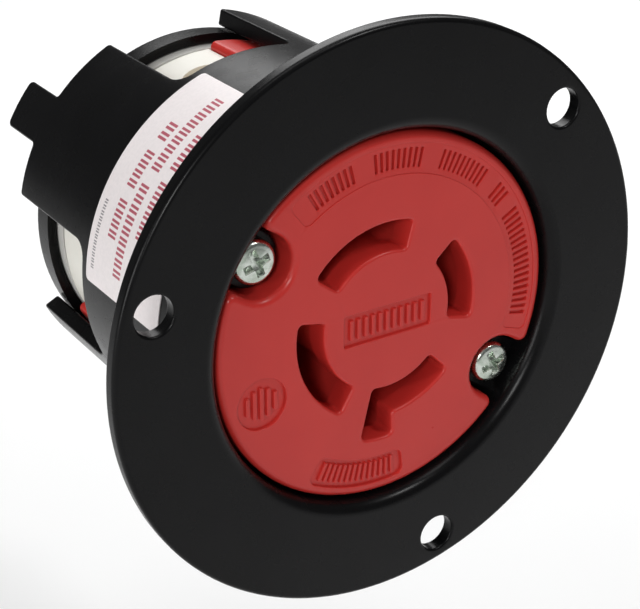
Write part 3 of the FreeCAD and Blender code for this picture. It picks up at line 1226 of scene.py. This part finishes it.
@dataclass
class Label:
    """Printed film on the tube, with plain blocks in place of text."""

    finishes: Finishes
    tube_r: float = TUBE_R
    film: float = 0.15
    buried: float = 0.02
    edge_round: float = 0.05
    stroke_round: float = 0.05
    grid_step: float = 1.3
    span: Flat = (109.5, 177.0)
    corner: float = 0.7
    strokes: tuple[Flat, ...] = ((0.08, 0.34), (0.52, 0.78))
    lines: tuple[PrintLine, ...] = (
        PrintLine(16.9, 18.8, ((126.0, 138.0, 4), (141.0, 158.0, 6))),
        PrintLine(20.4, 22.5, ((114.5, 140.5, 9), (144.0, 171.0, 9))),
        PrintLine(23.5, 25.6, ((126.5, 133.0, 2), (136.0, 147.5, 4), (150.5, 162.0, 4))),
        PrintLine(28.1, 28.9, ((153.0, 173.0, 12),), Ink.FINE),
    )
    outer_r: float = field(init=False)
    front: float = field(init=False)
    rear: float = field(init=False)

    def __post_init__(self) -> None:
        """Takes the ends from the frame."""
        low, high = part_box("label")
        self.front = low.y / MM
        self.rear = high.y / MM
        self.outer_r = self.tube_r + self.film

    def build(self) -> bpy.types.Object:
        """Makes the label and hands it to the frame.

        Returns:
            The piece.
        """
        draft = Draft()
        start, end = (math.radians(angle) * self.tube_r for angle in self.span)
        sheet = rectangle((start, self.front), (end, self.rear), self.corner)
        under = self.tube_r - self.buried
        profile = [(0.0, under)] + [(inset, self.outer_r - drop) for inset, drop in
                                    reversed(quarter(self.edge_round, 3))]
        draft.sweep(sheet, profile, wrapped)
        grid = [(u, v) for v in np.arange(self.front + 1, self.rear, self.grid_step)
                for u in np.arange(start + 1, end, self.grid_step)]
        draft.fill([sheet.points()], lambda u, v: wrapped(u, v, under), grid)
        blocks = [(block, line.ink) for line in self.lines for block in self.blocks(line)]
        loops = [sheet.points(self.edge_round)] + [block.points() for block, _ in blocks]

        def top(u: float, v: float) -> Vector:
            """Places a point on the label's outer face."""
            return wrapped(u, v, self.outer_r)

        draft.fill(loops, top, grid)
        for block, ink in blocks:
            draft.fill([block.points()], top, finish=ink.value)
        piece = draft.piece("wrap_label", [self.finishes.of(Slot.LABEL_STOCK), self.finishes.ink,
                                           self.finishes.fine_ink])
        settle(piece, "root", Slot.LABEL_STOCK, "label")
        return piece

    def blocks(self, line: PrintLine) -> list[Outline]:
        """Draws the printed blocks of one line.

        Args:
            line: The line.

        Returns:
            The blocks' outlines.
        """
        made = []
        for start, end, count in line.words:
            pitch = (end - start) / count
            for k in range(count):
                for near, far in self.strokes:
                    left, right = (math.radians(start + pitch * (k + share)) * self.tube_r
                                   for share in (near, far))
                    made.append(rectangle((left, line.front), (right, line.rear), self.stroke_round))
        return made


# Screws -------------------------------------------------------------------------------


@dataclass
class CrossScrew:
    """Round-head screw with a cross recess, drawn along +Y from the top of its head."""

    head_r: float
    head_h: float
    shank_r: float
    length: float
    thread_from: float
    pitch: float
    head_round: float = 0.8
    dome: float = 0.5
    arm_reach: float = 1.95
    arm_half: float = 0.58
    recess_depth: float = 1.25
    recess_turn: float = 20.0
    thread_depth: float = 0.3
    thread_steps: int = 8
    count: int = 48

    def top(self, radius: float) -> float:
        """Gives the height of the domed top at a radius."""
        return self.dome * (radius / self.head_r) ** 2

    def cross(self, reach: float, half: float) -> Turned:
        """Draws the recess at one depth.

        Args:
            reach: How far its arms reach.
            half: Half the width of its arms.

        Returns:
            The outline.
        """
        corners = []
        for k in range(4):
            for p, q, radius in ((half, -half, 0.14), (reach, -half, 0.12), (reach, half, 0.12)):
                u, v = polar(1.0, 90 * k)
                corners.append(Corner(p * u - q * v, p * v + q * u, radius))
        return Turned(Outline(tuple(corners), step=99.0), self.recess_turn)

    def draft(self) -> Draft:
        """Draws the whole screw.

        Returns:
            The draft.
        """
        draft = Draft()
        flat_r = self.head_r - self.head_round
        start = self.top(flat_r)
        edge = [(self.head_r - inset, start + drop) for inset, drop in quarter(self.head_round, 7)]
        edge += [(self.head_r - inset, self.head_h - drop) for inset, drop in reversed(quarter(0.12, 2))]
        edge.append((self.shank_r, self.head_h))
        draft.spin(edge, self.count)
        mouth = self.cross(self.arm_reach, self.arm_half)
        levels = ((mouth, 0.0, 0.0), (mouth, 0.05, 0.08),
                  (self.cross(0.72 * self.arm_reach, 0.8 * self.arm_half), 0.0, 0.75 * self.recess_depth),
                  (self.cross(0.4 * self.arm_reach, 0.6 * self.arm_half), 0.0, self.recess_depth))
        rows = []
        for loop, shrink, depth in levels:
            flat = loop.points(shrink)
            rows.append(draft.add(across(u, v, self.top(math.hypot(u, v)) + depth) for u, v in flat))
        for near, far in zip(rows, rows[1:]):
            draft.band(near, far)
        floor = levels[-1][0].points()
        draft.fill([floor], lambda u, v: across(u, v, self.top(math.hypot(u, v)) + self.recess_depth))
        rings = np.linspace(0.5, flat_r, 7)[:-1]
        inner = [polar(r, 15.0 * k + 7 * n) for n, r in enumerate(rings) for k in range(24)]
        plan = [Round(flat_r, count=self.count).points(), mouth.points()]
        draft.fill(plan, lambda u, v: across(u, v, self.top(math.hypot(u, v))), inner)
        self.draw_shank(draft)
        return draft

    def draw_shank(self, draft: Draft) -> None:
        """Draws the shank with its helical thread and closes its tip.

        Args:
            draft: Draft that gets the faces.
        """
        heights = [self.head_h, self.thread_from]
        rows = int((self.length - self.thread_from) / self.pitch * self.thread_steps)
        heights += [self.thread_from + self.pitch * (k + 1) / self.thread_steps for k in range(rows)]
        loops = []
        for height in heights:
            near_ends = min(1.0, max(0.0, (height - self.thread_from) / self.pitch))
            near_ends *= min(1.0, max(0.0, (heights[-1] - height) / self.pitch))
            row = []
            for k in range(self.count):
                angle = 360 * k / self.count
                phase = (height / self.pitch - k / self.count) % 1.0
                cut = self.thread_depth * near_ends * abs(2 * phase - 1)
                row.append(across(*polar(self.shank_r - cut, angle), height))
            loops.append(draft.add(row))
        for near, far in zip(loops, loops[1:]):
            draft.band(near, far)
        tip = [(self.shank_r, heights[-1]), (self.shank_r - TIP_ROUND, heights[-1] + TIP_ROUND)]
        draft.spin(tip, self.count)
        end = Round(tip[-1][0], count=self.count).points()
        draft.fill([end], level(tip[-1][1]))


@dataclass
class AssemblyScrews:
    """Two long plated screws whose heads show in the notches of the face."""

    finishes: Finishes
    circle: float = 23.1
    angles: tuple[float, ...] = SCREW_ANGLES
    thread_length: float = 9.0

    def build(self) -> bpy.types.Object:
        """Makes both screws as one piece and hands it to the frame.

        Returns:
            The piece.
        """
        low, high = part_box("assembly_screws")
        top, tip = low.y / MM, high.y / MM
        screw = CrossScrew(head_r=3.05, head_h=2.1, shank_r=1.75, length=tip - top - TIP_ALLOWANCE,
                           thread_from=tip - top - self.thread_length, pitch=0.79)
        draft = Draft()
        for angle in self.angles:
            u, v = polar(self.circle, angle)
            draft.join(screw.draft(), Matrix.Translation((u, top, v)))
        piece = draft.piece("long_screws", [self.finishes.of(Slot.ZINC_STEEL)], 32.0)
        settle(piece, "root", Slot.ZINC_STEEL, "assembly_screws")
        return piece


@dataclass
class TerminalScrew:
    """Clamping screw of one terminal, with its head facing out of a window."""

    finishes: Finishes
    pole: str
    head_gap: float = 0.06
    head_h: float = 2.5
    seat: float = 22.0
    tip_r: float = 12.2

    @property
    def slot(self) -> Slot:
        """Green for the earth terminal and brass for the others."""
        return Slot.GREEN_STEEL if self.pole == "ground" else Slot.BRASS

    def build(self) -> bpy.types.Object:
        """Makes the screw and hands it to its own body.

        Returns:
            The piece.
        """
        joint = next(j for j in frame["joints"] if j["child"] == "screw_" + self.pole)
        outward = Vector(joint["axis"])
        height = joint["pos_m"][1] / MM
        top = self.seat + self.head_gap + self.head_h
        screw = CrossScrew(head_r=3.6, head_h=self.head_h, shank_r=2.08,
                           length=top - self.tip_r - TIP_ALLOWANCE,
                           thread_from=self.head_h + 0.3, pitch=0.794, arm_reach=2.35, arm_half=0.5,
                           recess_depth=1.2, recess_turn=0.0)
        turn = Vector((0, 1, 0)).rotation_difference(-outward).to_matrix().to_4x4()
        place = Matrix.Translation(outward * top + Vector((0, height, 0))) @ turn
        draft = Draft()
        draft.join(screw.draft(), place)
        piece = draft.piece("clamping_screw_" + self.pole, [self.finishes.of(self.slot)], 32.0)
        settle(piece, "screw_" + self.pole, self.slot, "terminal_screw_" + self.pole)
        return piece


# Carried-over pieces ------------------------------------------------------------------


@dataclass
class CarriedPieces:
    """CAD pieces that keep their shape and get softened edges and a finish."""

    finishes: Finishes
    softening: float = 0.16
    edge_angle: float = 40.0

    def build(self) -> None:
        """Dresses every CAD node that is still shown."""
        slots = {part["node"]: Slot(part["material_slot"]) for part in frame["record"]["subparts"]}
        for name, piece in sorted(frame["nodes"].items()):
            if piece.hide_render:
                continue
            piece.data.materials.clear()
            # The terminal plate gets the greyed copy of the white nylon, which paints shade on it; the other
            # pieces get their slot's finish.
            piece.data.materials.append(self.finishes.painted_shade_by_node.get(name, self.finishes.of(slots[name])))
            weld = piece.modifiers.new("weld", "WELD")
            weld.merge_threshold = WELD * MM
            bevel = piece.modifiers.new("soft_edges", "BEVEL")
            bevel.width = self.softening * MM
            bevel.segments = 2
            bevel.limit_method = "ANGLE"
            bevel.angle_limit = math.radians(self.edge_angle)
            weighted = piece.modifiers.new("even_faces", "WEIGHTED_NORMAL")
            weighted.keep_sharp = True
            log.info("%s: kept, %s", name, slots[name].value)


# Stage --------------------------------------------------------------------------------


@dataclass
class Stage:
    """Pale floor, soft studio light and camera."""

    azimuth: float = -32.81
    elevation: float = 26.13
    distance: float = 218.87
    aside: Flat = (-9.923, 2.741)
    aim_height: float = -2.1
    focal: float = 93.04
    floor_drop: float = 60.0
    all_round: float = 0.12

    def build(self) -> None:
        """Makes the stage."""
        self.make_floor()
        self.make_lights()
        self.make_camera()

    def make_floor(self) -> None:
        """Makes the floor as a large gently lit sheet."""
        shader = Shader("floor")
        shader.set(Roughness=0.9, Specular_IOR_Level=0.1)
        tone = shader.ranged(shader.noise(400.0, 2.0), 0.0, 1.0)
        shader.wire(shader.mixed(tone, (0.93, 0.93, 0.93), (0.91, 0.91, 0.91)), "Base Color")
        mesh = bpy.data.meshes.new("floor")
        bm = bmesh.new()
        bmesh.ops.create_grid(bm, x_segments=24, y_segments=24, size=4.0)
        bm.to_mesh(mesh)
        bm.free()
        mesh.materials.append(shader.material)
        floor = bpy.data.objects.new("floor", mesh)
        floor.location.z = CAD_BOX[0].z - self.floor_drop * MM
        bpy.context.scene.collection.objects.link(floor)

    def make_lights(self) -> None:
        """Makes the soft boxes and the even light all round."""
        lamps = (
            ("front_left", (-0.58, -0.62, 0.38), (0.0, 0.0, 0.0), 0.20, 2.5),
            ("left", (-0.90, -0.10, 0.15), (0.0, 0.0, 0.0), 0.40, 2.4),
            ("top", (0.0, -0.10, 0.90), (0.0, 0.0, 0.0), 0.40, 1.1),
            ("top_front", (0.35, -0.45, 0.75), (0.0, 0.0, 0.0), 0.16, 1.7),
            ("floor_wash", (0.25, 0.35, 0.35), (0.20, 0.30, -0.06), 0.50, 2.6),
        )
        for name, place, aim, size, power in lamps:
            data = bpy.data.lights.new(name, "AREA")
            data.shape = "DISK"
            data.size = size
            data.energy = power
            lamp = bpy.data.objects.new(name, data)
            lamp.location = place
            lamp.rotation_mode = "QUATERNION"
            lamp.rotation_quaternion = (Vector(aim) - Vector(place)).to_track_quat("-Z", "Y")
            bpy.context.scene.collection.objects.link(lamp)
        world = bpy.data.worlds.new("studio")
        world.use_nodes = True
        world.node_tree.nodes["Background"].inputs["Color"].default_value = (1, 1, 1, 1)
        world.node_tree.nodes["Background"].inputs["Strength"].default_value = self.all_round
        bpy.context.scene.world = world
        bpy.context.scene.view_settings.view_transform = "Standard"

    def make_camera(self) -> None:
        """Sets the camera beside and above the face."""
        a, e = math.radians(self.azimuth), math.radians(self.elevation)
        back = Vector((math.sin(a) * math.cos(e), -math.cos(a) * math.cos(e), math.sin(e)))
        right = Vector((math.cos(a), math.sin(a), 0))
        up = back.cross(right)
        place = right * self.aside[0] + up * self.aside[1] + back * self.distance
        place.y += self.aim_height
        data = bpy.data.cameras.new("camera")
        data.sensor_width = 36
        data.lens = self.focal
        data.clip_start = 0.01
        camera = bpy.data.objects.new("camera", data)
        turn = Matrix((right, up, back)).transposed().to_4x4()
        camera.matrix_world = Matrix.Translation(place * MM) @ turn
        bpy.context.scene.collection.objects.link(camera)
        bpy.context.scene.camera = camera


def main() -> None:
    """Builds the outlet and its stage in order."""
    logging.basicConfig(level=logging.INFO, format="%(message)s")
    finishes = Finishes()
    Shell(finishes).build()
    FrontBody(finishes).build()
    Label(finishes).build()
    AssemblyScrews(finishes).build()
    for pole in ("x", "y", "ground", "z"):
        TerminalScrew(finishes, pole).build()
    CarriedPieces(finishes).build()
    Stage().build()


if __name__ == "__main__":
    main()
